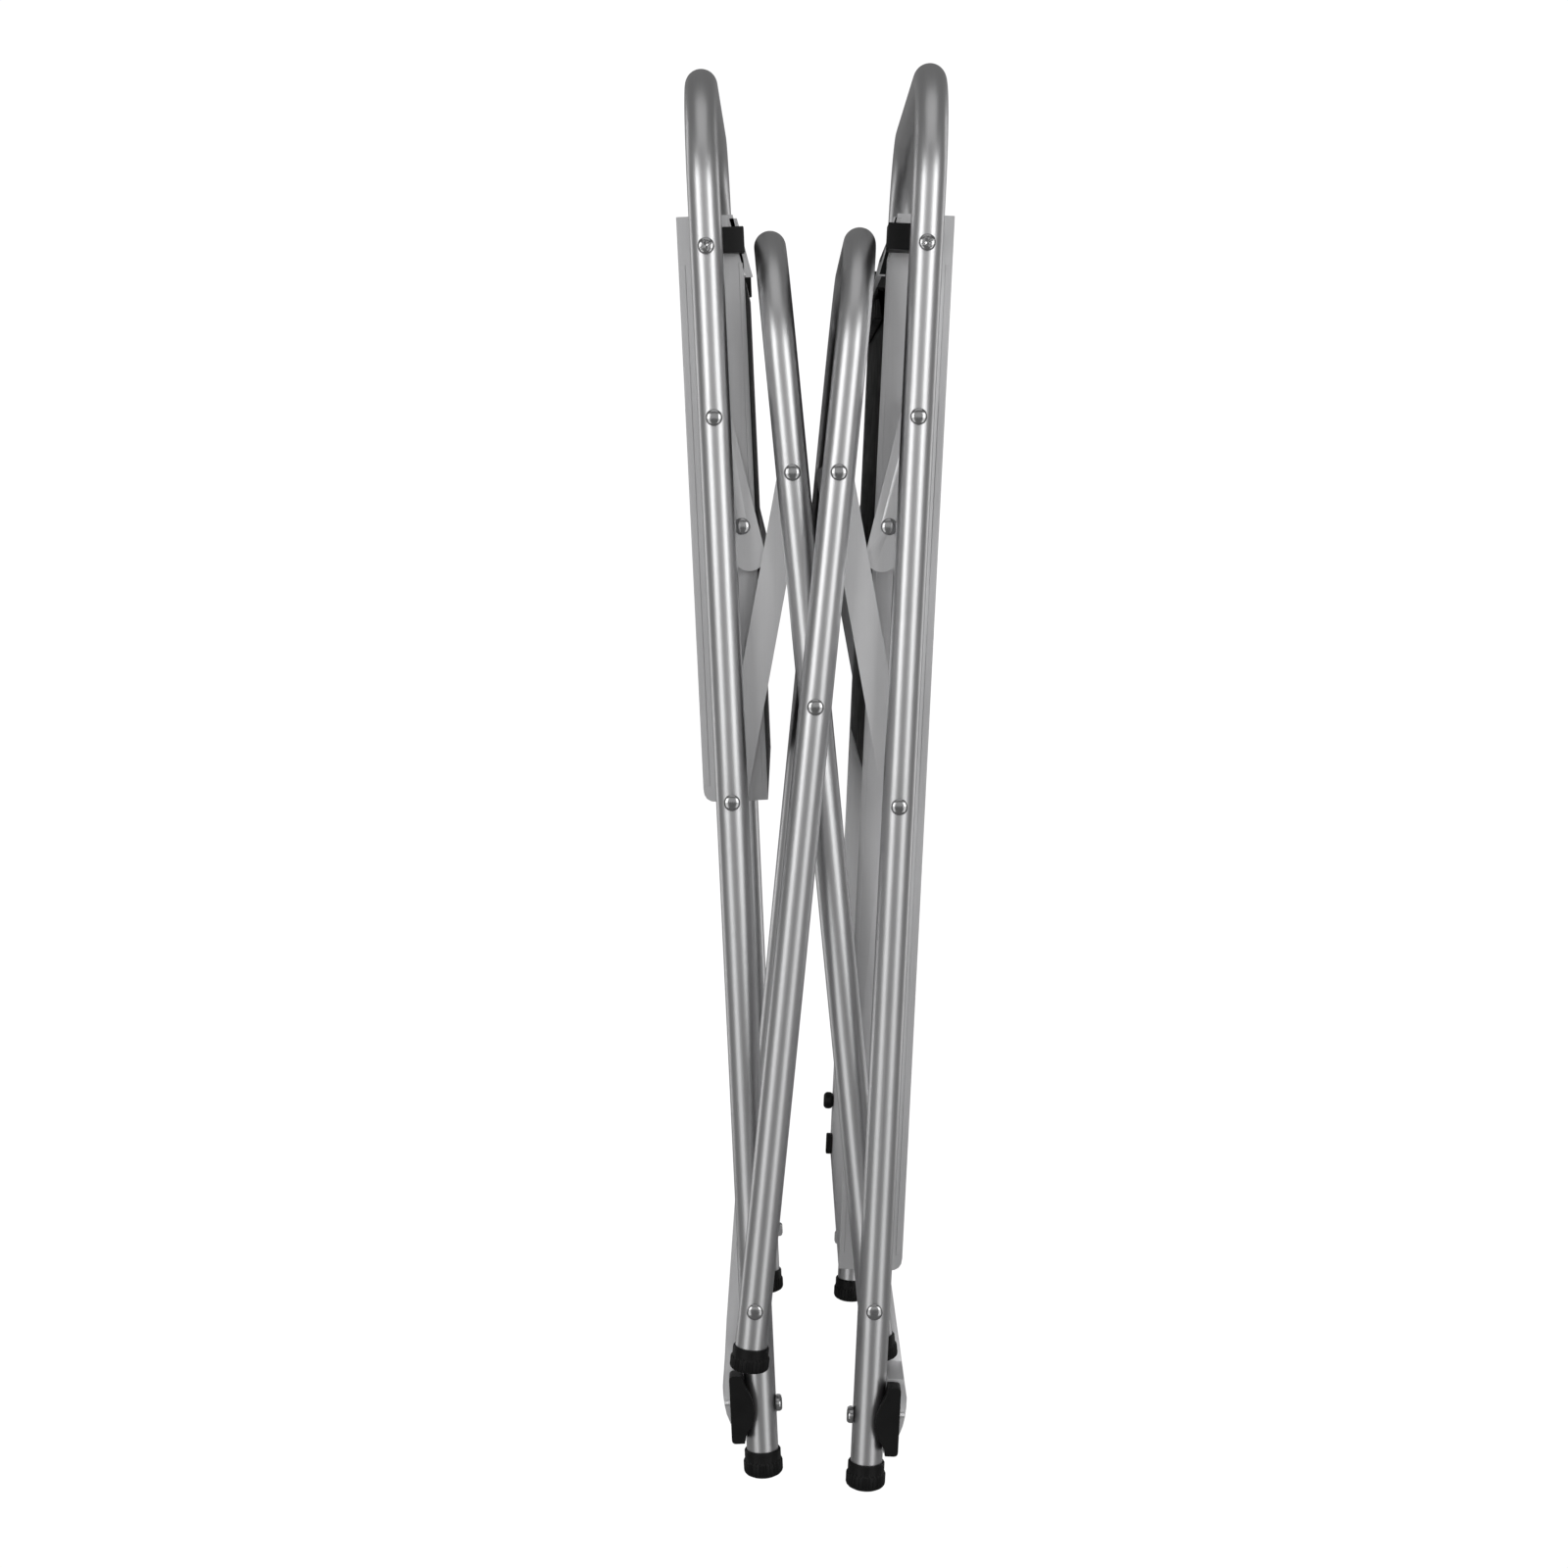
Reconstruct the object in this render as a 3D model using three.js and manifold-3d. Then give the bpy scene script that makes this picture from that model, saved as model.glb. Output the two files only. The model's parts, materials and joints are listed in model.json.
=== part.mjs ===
// Folding aluminium camp frame, stored folded and standing on its four feet.
// Two outer hoops carry a long and a short hinged leaf, and two inner hoops cross as a scissor
// between them. Flat link bars join each inner hoop to the outer hoop beside it.
// Millimetres, +Z up. X runs across the fold, Y along the pivots from the near legs to the far ones.

import * as THREE from 'three';
import { mergeVertices } from 'three/addons/utils/BufferGeometryUtils.js';
import Module from 'manifold-3d';

const wasm = await Module();
wasm.setup();

// ---- Driving dimensions ------------------------------------------------------------------------

const DEG = Math.PI / 180;
const GAP = 0.3; // clearance between neighbouring pieces
const DRILL_GAP = 0.8; // drilled holes have six flats, so they are drawn wider than their rivets

const TUBE_RADIUS = 11;
const TUBE_WALL = 1.5;
const TUBE_SIDES = 12;
const BORE_SIDES = 8;
const DRILL_SIDES = 6;
const BEND_RADIUS = 78; // centre line of the hoops' top corners
const BEND_STEPS = 5;

const SPAN = 426; // near leg to far leg of every hoop
const LAYER = 24; // depth between the two layers of tubes

const OUTER_LEAN = 2.54 * DEG; // outer hoops lean outward at the top
const INNER_LEAN = 5.63 * DEG; // inner hoops cross at this lean when folded

// Lengths along an outer leg, measured from its bottom pivot.
const FOOT_DROP = 129;
const LINK_RISE = 345;
const HINGE_RISE = 714;
const OUTER_TOP_RISE = 841;

// Lengths along an inner leg, measured from the scissor pivot.
const INNER_LOWER = 413;
const INNER_END = 455;
const INNER_LINK_RISE = 155;
const INNER_TOP_RISE = 322;

const RIVET = { shank: 2.2, head: 5.6, dome: 2.6, collar: 7, sides: 8 };
const LINK = { width: 19.5, thickness: 2.5, offset: TUBE_RADIUS + 0.7 };

const STAY = {
  tubeDrop: 112, // rivet on the leg, below the leaf hinge
  leafDrop: 104, // pivot on the leaf, below the leaf hinge
  foldAngle: 11.5 * DEG, // the folded arm hangs this far inward of its leg
  armWidth: 22,
  armTail: 20, // the arm's stop, past the elbow
  strutWidth: 14,
  thickness: 2,
  bush: 5,
  armOffset: TUBE_RADIUS + 3.7,
};
const STRUT_OFFSET = STAY.armOffset + STAY.thickness + 2;
const LEAF_OPEN = 90 * DEG + OUTER_LEAN; // an open leaf is level

const LEAF = { inner: -24, outer: 20, above: 23, sheet: 1.3, corner: 9 };
const LEAF_SLANT = { across: 6, down: 31 }; // the upper inner corner, clear of the inner hoops
const BOARD = 2; // thickness of a leaf's underside board
const BLOCK = { inner: -25, outer: 7, low: -3, high: 14 };
const KNOB = { radius: 7, height: 8, inset: 14, rise: 42 };
const STOP = { width: 8, thickness: 5, inset: 30, low: 3, high: 19 };
const CATCH = { thickness: 6, backing: 1.5, inset: 30, low: 68, high: 54.5, lip: 4.5, top: 46.5 };
const SHORT_LEAF = { length: 395, inset: 24, railTop: 38, railShoulder: 9 };
const LONG_LEAF = { length: 723, inset: 40, railTop: 8, railShoulder: 4 }; // rail stays below its end
const LONG_LEAF_DARK_LENGTH = 376; // upper stretch of the long leaf's dark underside

const FOOT = { collar: 12.6, rib: 13.6, height: 17, dome: 3 };
const CAP = { collar: 12.4, rib: 13.4, height: 16, dome: 1.5 };

const RAIL = { low: -103, bulge: -63, proud: 14.3, wall: 1.6 };
const SADDLE = { low: -99, high: -51, outer: 20.5, inner: 3.8, front: 16.5 };
const SWING_GAP = 1.5; // beside the capped end of an inner leg as it swings
const SWING_RADIUS = INNER_END - INNER_LOWER + 8;
const BOLT = { shank: 2.2, head: 5, height: 3.4 };
const BOLT_RISE = (SADDLE.low + SADDLE.high) / 2;

// ---- Places in the folded frame, as points of the X-Z plane ------------------------------------

const along = (point, lean, distance) => ({
  x: point.x + distance * Math.sin(lean),
  z: point.z + distance * Math.cos(lean),
});

const PIVOT_HALF_SPREAD = INNER_LOWER * Math.sin(INNER_LEAN);
const SCISSOR = { x: 0, z: INNER_LOWER * Math.cos(INNER_LEAN) };

const bottomPivot = (side) => ({ x: side * PIVOT_HALF_SPREAD, z: 0 });
const onOuterLeg = (side, rise) => along(bottomPivot(side), side * OUTER_LEAN, rise);
const onInnerLeg = (side, rise) => along(SCISSOR, side * INNER_LEAN, rise);
const leanBetween = (from, to) => Math.atan2(to.x - from.x, to.z - from.z);

// ---- Materials ---------------------------------------------------------------------------------

const material = (color, roughness, metalness) =>
  new THREE.MeshStandardMaterial({ color, roughness, metalness });

const TUBE_METAL = material('#a9aaac', 0.34, 1);
const SHEET_METAL = material('#bfc0c1', 0.42, 1);
const FASTENER_METAL = material('#a4a5a7', 0.25, 1);
const BLACK_PLASTIC = material('#111213', 0.55, 0);
const DARK_PAINT = material('#2b2c2e', 0.5, 0.2);

// ---- Solid helpers -----------------------------------------------------------------------------

// Position-only geometry with shared vertices merged, collapsed triangles dropped, faces outward.
function closed(geometry) {
  const bare = new THREE.BufferGeometry();
  bare.setAttribute('position', geometry.getAttribute('position').clone());
  if (geometry.index) bare.setIndex(geometry.index.clone());
  const merged = mergeVertices(bare, 1e-4);
  const position = merged.getAttribute('position');
  const triangles = [];
  let volume = 0;
  const [a, b, c] = [new THREE.Vector3(), new THREE.Vector3(), new THREE.Vector3()];
  for (let i = 0; i < merged.index.count; i += 3) {
    const [p, q, r] = [0, 1, 2].map((k) => merged.index.getX(i + k));
    if (p === q || q === r || r === p) continue;
    triangles.push([p, q, r]);
    volume += a.fromBufferAttribute(position, p).dot(
      b.fromBufferAttribute(position, q).cross(c.fromBufferAttribute(position, r)));
  }
  merged.setIndex(triangles.flatMap(([p, q, r]) => (volume > 0 ? [p, q, r] : [p, r, q])));
  return merged;
}

function toManifold(geometry) {
  const solid = closed(geometry);
  return new wasm.Manifold(new wasm.Mesh({
    numProp: 3,
    vertProperties: Float32Array.from(solid.getAttribute('position').array),
    triVerts: Uint32Array.from(solid.index.array),
  }));
}

function fromManifold(solid) {
  const { vertProperties, triVerts } = solid.getMesh();
  const geometry = new THREE.BufferGeometry();
  geometry.setAttribute('position', new THREE.BufferAttribute(vertProperties, 3));
  geometry.setIndex(new THREE.BufferAttribute(triVerts, 1));
  return geometry;
}

function cut(geometry, tools) {
  return fromManifold(tools.reduce((solid, tool) => solid.subtract(toManifold(tool)),
    toManifold(geometry)));
}

function join(geometries) {
  return fromManifold(geometries.map(toManifold).reduce((a, b) => a.add(b)));
}

// The same piece at the near and the far leg of a hoop; direction points inward from that leg.
function eachEnd(depth, make) {
  make(depth, 1, 'near');
  make(depth + SPAN, -1, 'far');
}

// Sorted pair of depths measured inward from a leg.
function inward(y, direction, a, b) {
  return [y + direction * a, y + direction * b].sort((p, q) => p - q);
}

const legDepths = (depth) => [depth, depth + SPAN];

// A box from its lowest and highest corners.
function box([x0, y0, z0], [x1, y1, z1]) {
  return new THREE.BoxGeometry(Math.abs(x1 - x0), y1 - y0, z1 - z0)
    .translate((x0 + x1) / 2, (y0 + y1) / 2, (z0 + z1) / 2);
}

// A turned solid on the Y axis: profile points are [radius, y], from one end to the other.
function turned(profile, segments = RIVET.sides) {
  return new THREE.LatheGeometry(profile.map(([r, y]) => new THREE.Vector2(r, y)), segments);
}

// A drilling tool along Y.
function drillY(radius, y0, y1, x, z) {
  return new THREE.CylinderGeometry(radius, radius, y1 - y0, DRILL_SIDES).translate(x, (y0 + y1) / 2, z);
}

// An X-Z outline given as a THREE.Shape with its second coordinate along Z, thickened along Y.
function plate(shape, y0, y1, curveSegments = 6) {
  return new THREE.ExtrudeGeometry(shape, { depth: y1 - y0, bevelEnabled: false, curveSegments })
    .rotateX(Math.PI / 2).translate(0, y1, 0);
}

// Profile of a domed head whose flat face is at y, bulging toward lower y.
function domedHead(y, radius = RIVET.head, dome = RIVET.dome) {
  return [[0, y - dome], [radius * 0.62, y - dome * 0.78], [radius, y - 0.5], [radius, y]];
}

// Domed rivet along Y with a head outside each of its two faces.
// Its collar, when given as a pair of depths, keeps two turning tubes apart.
function rivet(y0, y1, x, z, collar) {
  const [near, far] = [y0 - GAP, y1 + GAP];
  const farHead = domedHead(-far).map(([r, y]) => [r, -y]).reverse();
  const middle = collar ? [[RIVET.shank, collar[0] + GAP], [RIVET.collar, collar[0] + GAP],
    [RIVET.collar, collar[1] - GAP], [RIVET.shank, collar[1] - GAP]] : [];
  return turned([...domedHead(near), [RIVET.shank, near], ...middle, [RIVET.shank, far], ...farHead])
    .translate(x, 0, z);
}

// Rivet with one domed head at y and a plain shank that reaches inward from it.
function blindRivet(y, direction, x, z, length) {
  const head = turned([...domedHead(0), [RIVET.shank, 0], [RIVET.shank, length], [0, length]]);
  if (direction < 0) head.rotateX(Math.PI);
  return head.translate(x, y, z);
}

// ---- Placing pieces ----------------------------------------------------------------------------

const assembly = new THREE.Group();

// A group whose origin is at a pivot and whose +Z runs along its leg.
function frameAt(name, { x, z }, lean) {
  const group = new THREE.Group();
  group.name = name;
  group.position.set(x, 0, z);
  group.rotation.y = lean;
  assembly.add(group);
  return group;
}

function add(group, name, geometry, look) {
  const mesh = new THREE.Mesh(closed(geometry), look);
  mesh.name = name;
  group.add(mesh);
}

// ---- Hoops -------------------------------------------------------------------------------------

// Up the near leg, over the top and down the far leg, with stations only at the ends and bends.
class HoopPath extends THREE.Curve {
  constructor(low, top, depth) {
    super();
    this.stations = [{ y: 0, z: low, turn: 0 }];
    for (const [corner, start] of [[BEND_RADIUS, 0], [SPAN - BEND_RADIUS, 90]]) {
      for (let i = 0; i <= BEND_STEPS; i++) {
        const turn = (start + (90 * i) / BEND_STEPS) * DEG;
        this.stations.push({
          y: corner - BEND_RADIUS * Math.cos(turn),
          z: top - BEND_RADIUS + BEND_RADIUS * Math.sin(turn),
          turn,
        });
      }
    }
    this.stations.push({ y: SPAN, z: low, turn: Math.PI });
    this.depth = depth;
  }

  get steps() { return this.stations.length - 1; }

  station(u) { return this.stations[Math.round(u * this.steps)]; }

  getPointAt(u, target = new THREE.Vector3()) {
    const { y, z } = this.station(u);
    return target.set(0, y + this.depth, z);
  }

  getTangentAt(u, target = new THREE.Vector3()) {
    const { turn } = this.station(u);
    return target.set(0, Math.sin(turn), Math.cos(turn));
  }
}

function polygon(radius, sides, Kind = THREE.Shape) {
  const outline = new Kind();
  for (let i = 0; i < sides; i++) {
    const angle = ((i + 0.5) * 2 * Math.PI) / sides;
    const [x, y] = [radius * Math.cos(angle), radius * Math.sin(angle)];
    if (i) outline.lineTo(x, y); else outline.moveTo(x, y);
  }
  outline.closePath();
  return outline;
}

// Bent tube with rivet holes drilled through both legs at the given heights.
function hoop(low, topEdge, depth, rivetHeights) {
  const section = polygon(TUBE_RADIUS, TUBE_SIDES);
  section.holes.push(polygon(TUBE_RADIUS - TUBE_WALL, BORE_SIDES, THREE.Path));
  const path = new HoopPath(low, topEdge - TUBE_RADIUS, depth);
  const tube = new THREE.ExtrudeGeometry(section,
    { steps: path.steps, extrudePath: path, bevelEnabled: false });
  const reach = TUBE_RADIUS + 2;
  return cut(tube, legDepths(depth).flatMap((y) => rivetHeights.map((z) =>
    drillY(RIVET.shank + DRILL_GAP, y - reach, y + reach, 0, z))));
}

// Holes through both legs of an outer hoop for the bolts of its foot rail.
function drilledForBolts(tube, depth) {
  return cut(tube, legDepths(depth).map((y) =>
    new THREE.CylinderGeometry(BOLT.shank + DRILL_GAP, BOLT.shank + DRILL_GAP, 30, DRILL_SIDES)
      .rotateZ(Math.PI / 2).translate(0, y, BOLT_RISE)));
}

// ---- Feet and end caps: a collar and a ribbed ring over the tube's end -------------------------

function ribbedCap({ collar, rib, height, dome }, y, low) {
  const bore = (TUBE_RADIUS + GAP) / Math.cos(Math.PI / TUBE_SIDES); // its flats clear the tube
  const ring = height * 0.55;
  const profile = [[0, -dome], [rib * 0.7, -dome * 0.6], [rib - 0.6, 0.8], [rib, 2.2], [rib, ring],
    [collar, ring + 1], [collar, height], [bore, height], [bore, 1.2], [0, 1.2]];
  return turned(profile, TUBE_SIDES).rotateX(Math.PI / 2).translate(0, y, low - 1.2 - GAP);
}

// ---- Link bars and stays: flat bars with round ends --------------------------------------------

// Bar from the origin to `length` up its own axis, with an optional tail past the far end.
function roundBar(length, width, thickness, y, tail = 0) {
  const r = width / 2;
  const shape = new THREE.Shape();
  shape.absarc(0, 0, r, Math.PI, 2 * Math.PI);
  shape.absarc(0, length + tail, r, 0, Math.PI);
  shape.closePath();
  return plate(shape, y, y + thickness, 6);
}

function drilledBar(length, width, thickness, y, holes, tail = 0) {
  const drills = holes.map((z) => drillY(RIVET.shank + DRILL_GAP, y - 1, y + thickness + 1, 0, z));
  return cut(roundBar(length, width, thickness, y, tail), drills);
}

// ---- Outer hoop of one side, with its feet, foot rail, saddles and rivets -----------------------

// Curved rail outside both legs, open toward them and closed at its ends.
// Its two bolts are part of it: each one's head is on the inner side of its leg.
// One end is cut away above the swing of the inner leg in the other layer.
function footRail(side, depth, { railTop, railShoulder }) {
  const back = side * (TUBE_RADIUS + GAP);
  const [y0, y1] = legDepths(depth);
  const lens = (inset) => {
    const shape = new THREE.Shape();
    const x0 = back - (inset ? side : 0);
    const x1 = back + side * (RAIL.proud - inset);
    const low = RAIL.low + inset * 1.5;
    const high = railTop - inset * 4;
    shape.moveTo(x0, low);
    shape.bezierCurveTo(x1, low + 12, x1, low + 28, x1, RAIL.bulge);
    shape.bezierCurveTo(x1 - side * 3, RAIL.bulge + 16,
      back + side * (railShoulder - inset), high - 24, x0, high);
    shape.closePath();
    return shape;
  };
  const reach = CAP.rib + SWING_GAP;
  const [from, to] = depth ? [SPAN - reach, y1 + 1] : [y0 - 1, LAYER + reach];
  const swing = (wall) => box([back - side * 2, from - wall, -SWING_RADIUS - wall],
    [back + side * (RAIL.proud + 2), to + wall, railTop + 2]);
  const outside = cut(plate(lens(0), y0, y1), [swing(0)]);
  const inside = cut(plate(lens(RAIL.wall), y0 + RAIL.wall, y1 - RAIL.wall), [swing(RAIL.wall)]);
  return join([cut(outside, [inside]), ...legDepths(depth).map((y) => railBolt(side, y))]);
}

function railBolt(side, y) {
  const inner = -TUBE_RADIUS - GAP;
  const tip = TUBE_RADIUS + GAP + RAIL.proud - 1;
  const { shank, head, height } = BOLT;
  return turned([[0, inner - height], [head * 0.8, inner - height], [head, inner - height * 0.6],
    [head, inner], [shank, inner], [shank, tip], [0, tip]])
    .rotateZ(-side * Math.PI / 2).translate(0, y, BOLT_RISE);
}

// D-shaped block beside the leg, in front of the rail's end, hollowed to seat on the tube.
function saddle(side, y, direction) {
  const { low, high, outer, inner, front } = SADDLE;
  const [y0, y1] = inward(y, direction, -front, -BOLT.shank - GAP);
  const [edge, rounding, shoulder] = [side * outer, 3, side * (outer - 9)];
  const shape = new THREE.Shape();
  shape.moveTo(edge, low + rounding);
  shape.lineTo(edge, high - rounding);
  shape.quadraticCurveTo(edge, high, edge - side * rounding, high);
  shape.lineTo(shoulder, high);
  shape.bezierCurveTo(shoulder, high - 10, side * inner, high - 12, side * inner, BOLT_RISE - 3);
  shape.bezierCurveTo(side * inner, low + 10, shoulder, low + 10, shoulder, low);
  shape.lineTo(edge - side * rounding, low);
  shape.quadraticCurveTo(edge, low, edge, low + rounding);
  const leg = new THREE.CylinderGeometry(TUBE_RADIUS + GAP, TUBE_RADIUS + GAP, 90, 24)
    .rotateX(Math.PI / 2).translate(0, y, BOLT_RISE);
  return cut(plate(shape, y0, y1, 5), [leg]);
}

// Pan-head screw with a cross recess, along Y, through the leg and the hinge block into the leaf.
function hingeScrew(y, direction, length) {
  const { shank, head, dome } = RIVET;
  const face = -TUBE_RADIUS - GAP;
  const screw = turned([[0, face - dome], [head * 0.8, face - dome * 0.9], [head, face - 0.8],
    [head, face], [shank, face], [shank, length], [0, length]], 10);
  const recess = [[4.6, 1.2], [1.2, 4.6]].map(([w, h]) =>
    box([-w / 2, face - dome - 1, -h / 2], [w / 2, face - dome + 1.3, h / 2]));
  const geometry = cut(screw, recess);
  if (direction < 0) geometry.rotateZ(Math.PI);
  return geometry.translate(0, y, HINGE_RISE);
}

function outerSide(name, side, depth, leafSize) {
  const group = frameAt(`${name}_outer`, bottomPivot(side), side * OUTER_LEAN);
  const stayRise = HINGE_RISE - STAY.tubeDrop;
  const stayRivetLength = TUBE_RADIUS + GAP + STAY.armOffset + STAY.thickness;
  const footEnd = -FOOT_DROP + FOOT.dome + 2;
  const tube = hoop(footEnd, OUTER_TOP_RISE, depth, [0, LINK_RISE, stayRise, HINGE_RISE]);

  add(group, `${name}_outer_hoop`, drilledForBolts(tube, depth), TUBE_METAL);
  add(group, `${name}_foot_rail`, footRail(side, depth, leafSize), SHEET_METAL);
  eachEnd(depth, (y, direction, end) => {
    const link = inward(y, direction, -TUBE_RADIUS, LINK.offset + LINK.thickness);
    add(group, `${name}_foot_${end}`, ribbedCap(FOOT, y, footEnd), BLACK_PLASTIC);
    add(group, `${name}_saddle_${end}`, saddle(side, y, direction), BLACK_PLASTIC);
    add(group, `${name}_link_rivet_${end}`, rivet(...link, 0, LINK_RISE), FASTENER_METAL);
    add(group, `${name}_stay_rivet_${end}`,
      blindRivet(y - direction * (TUBE_RADIUS + GAP), direction, 0, stayRise, stayRivetLength),
      FASTENER_METAL);
    add(group, `${name}_hinge_screw_${end}`, hingeScrew(y, direction, leafSize.inset + 6), FASTENER_METAL);
  });
}

// Rivets that join the two layers of tubes, where an inner hoop turns on another hoop.
function layerRivets(name, group) {
  eachEnd(0, (y, direction, end) => {
    const collar = [y + TUBE_RADIUS, y + LAYER - TUBE_RADIUS];
    add(group, `${name}_rivet_${end}`,
      rivet(y - TUBE_RADIUS, y + LAYER + TUBE_RADIUS, 0, 0, collar), FASTENER_METAL);
  });
}

// ---- Inner hoops -------------------------------------------------------------------------------

// The link bars turn just clear of the inner hoops, so the rivets there are joined to the hoops.
function innerHoop(name, side, depth) {
  const group = frameAt(name, SCISSOR, side * INNER_LEAN);
  const sink = TUBE_WALL * 0.7;
  const rivets = legDepths(depth).map((y, i) => {
    const direction = i ? -1 : 1;
    return blindRivet(y - direction * (TUBE_RADIUS - 0.2), direction, 0, INNER_LINK_RISE, sink);
  });
  add(group, `${name}_hoop`,
    join([hoop(-INNER_END, INNER_TOP_RISE, depth, [-INNER_LOWER, 0]), ...rivets]), TUBE_METAL);
  eachEnd(depth, (y, direction, end) => {
    add(group, `${name}_cap_${end}`, ribbedCap(CAP, y, -INNER_END), BLACK_PLASTIC);
  });
}

// ---- Link bars ---------------------------------------------------------------------------------

// The right links reach the inner hoop that leans right, and the left links the one that leans left.
function linkBars(name, side, depth) {
  const lower = onOuterLeg(side, LINK_RISE);
  const upper = onInnerLeg(side, INNER_LINK_RISE);
  const length = Math.hypot(upper.x - lower.x, upper.z - lower.z);
  const group = frameAt(`${name}_links`, lower, leanBetween(lower, upper));
  eachEnd(depth, (y, direction, end) => {
    const [low] = inward(y, direction, LINK.offset, LINK.offset + LINK.thickness);
    add(group, `${name}_link_${end}`,
      drilledBar(length, LINK.width, LINK.thickness, low, [0]), SHEET_METAL);
  });
}

// ---- Leaves ------------------------------------------------------------------------------------

// Side outline of a leaf with its lower outer corner rounded and its upper inner corner slanted.
// An inset shrinks it evenly, except on the leaf's inner side, where it reaches past so that the
// hollow is open.
function leafOutline(side, bottom, inset) {
  const inner = side * (inset ? LEAF.inner - 2 : LEAF.inner);
  const outer = side * (LEAF.outer - inset);
  const low = bottom + inset;
  const r = LEAF.corner - inset;
  const shape = new THREE.Shape();
  shape.moveTo(inner, low);
  shape.lineTo(outer - side * r, low);
  shape.quadraticCurveTo(outer, low, outer, low + r);
  shape.lineTo(outer, LEAF.above - inset);
  if (inset) {
    shape.lineTo(inner, LEAF.above - inset);
  } else {
    shape.lineTo(inner + side * LEAF_SLANT.across, LEAF.above);
    shape.lineTo(inner, LEAF.above - LEAF_SLANT.down);
  }
  shape.closePath();
  return shape;
}

// Pin from the leaf's side out through the stay's strut, with a shoulder behind the strut.
function leafPin(y, direction, inset) {
  const strut = STRUT_OFFSET - inset;
  const { shank, head } = RIVET;
  const profile = [...domedHead(strut - GAP, head, 1), [shank, strut - GAP],
    [shank, strut + STAY.thickness + GAP], [shank * 2, strut + STAY.thickness + GAP],
    [shank * 2, LEAF.sheet / 2], [0, LEAF.sheet / 2]];
  const pin = turned(profile);
  if (direction < 0) pin.rotateX(Math.PI);
  return pin.translate(0, y, -STAY.leafDrop);
}

// One folded sheet: the working face, both sides and both ends, open on its inner side.
function leafShell(side, bottom, near, far, inset) {
  const pan = cut(plate(leafOutline(side, bottom, 0), near, far, 4), [
    plate(leafOutline(side, bottom, LEAF.sheet), near + LEAF.sheet, far - LEAF.sheet, 4),
    drillY(RIVET.shank + DRILL_GAP, near - 1, near + 3, 0, 0),
    drillY(RIVET.shank + DRILL_GAP, far - 3, far + 1, 0, 0),
  ]);
  return join([pan, leafPin(near, 1, inset), leafPin(far, -1, inset)]);
}

// Block that fills the space between a leg and its leaf, around the hinge screw.
function hingeBlock(side, y, direction, inset) {
  const [low, high] = inward(y, direction, -inset + TUBE_RADIUS + GAP, -GAP);
  const block = box([side * BLOCK.inner, low, BLOCK.low], [side * BLOCK.outer, high, BLOCK.high]);
  return cut(block, [drillY(RIVET.shank + DRILL_GAP, low - 1, high + 1, 0, 0)]);
}

function leaf(name, side, depth, { length, inset }, blockLook) {
  const group = frameAt(`${name}_leaf`, onOuterLeg(side, HINGE_RISE), side * OUTER_LEAN);
  const bottom = LEAF.above - length;
  const near = depth + inset;
  const far = depth + SPAN - inset;
  add(group, `${name}_leaf_shell`, leafShell(side, bottom, near, far, inset), SHEET_METAL);
  add(group, `${name}_hinge_block_near`, hingeBlock(side, near, 1, inset), blockLook);
  add(group, `${name}_hinge_block_far`, hingeBlock(side, far, -1, inset), blockLook);
  return { group, side, bottom, near, far };
}

// Thin board set into the leaf's open inner side, between two heights.
function underside({ group, side, near, far }, name, low, high, look) {
  const x0 = side * (LEAF.inner + 1);
  const edge = LEAF.sheet + GAP;
  add(group, name, box([x0, near + edge, low + GAP], [x0 + side * BOARD, far - edge, high - GAP]), look);
}

// Round rubber knob with a small stop below it, and a catch bar, on the long leaf's inner side.
function leafFittings({ group, side, bottom, near, far }) {
  const face = side * (LEAF.inner + 1 - GAP);
  const knob = turned([[0, 0], [5, 0], [KNOB.radius, 2.5], [KNOB.radius, KNOB.height - 2],
    [KNOB.radius - 2, KNOB.height], [0, KNOB.height]], 12)
    .rotateZ(side * Math.PI / 2).translate(face, far - KNOB.inset, bottom + KNOB.rise);
  add(group, 'right_leaf_knob', knob, BLACK_PLASTIC);
  add(group, 'right_leaf_stop', box(
    [face - side * STOP.thickness, far - STOP.inset - STOP.width, bottom + STOP.low],
    [face, far - STOP.inset, bottom + STOP.high]), BLACK_PLASTIC);
  const bar = (low, high, thickness) => box(
    [face - side * thickness, near + CATCH.inset, LEAF.above - low],
    [face, far - CATCH.inset, LEAF.above - high]);
  add(group, 'right_leaf_catch', join([bar(CATCH.low, CATCH.high, CATCH.thickness),
    bar(CATCH.top + CATCH.lip, CATCH.top, CATCH.thickness),
    bar(CATCH.low, CATCH.top, CATCH.backing)]), BLACK_PLASTIC);
}

// ---- Stays -------------------------------------------------------------------------------------

// The open stay is straight from the leg's rivet to the leaf's pivot, and when folded its elbow
// hangs inward of the leg: these two states fix the lengths of the arm and the strut.
const STAY_REACH = Math.hypot(STAY.leafDrop * Math.sin(LEAF_OPEN),
  STAY.tubeDrop - STAY.leafDrop * Math.cos(LEAF_OPEN));
const STAY_STEP = STAY.tubeDrop - STAY.leafDrop;
const STAY_ARM = (STAY_REACH ** 2 - STAY_STEP ** 2)
  / (2 * (STAY_REACH + STAY_STEP * Math.cos(STAY.foldAngle)));
const STAY_STRUT = STAY_REACH - STAY_ARM;

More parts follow.
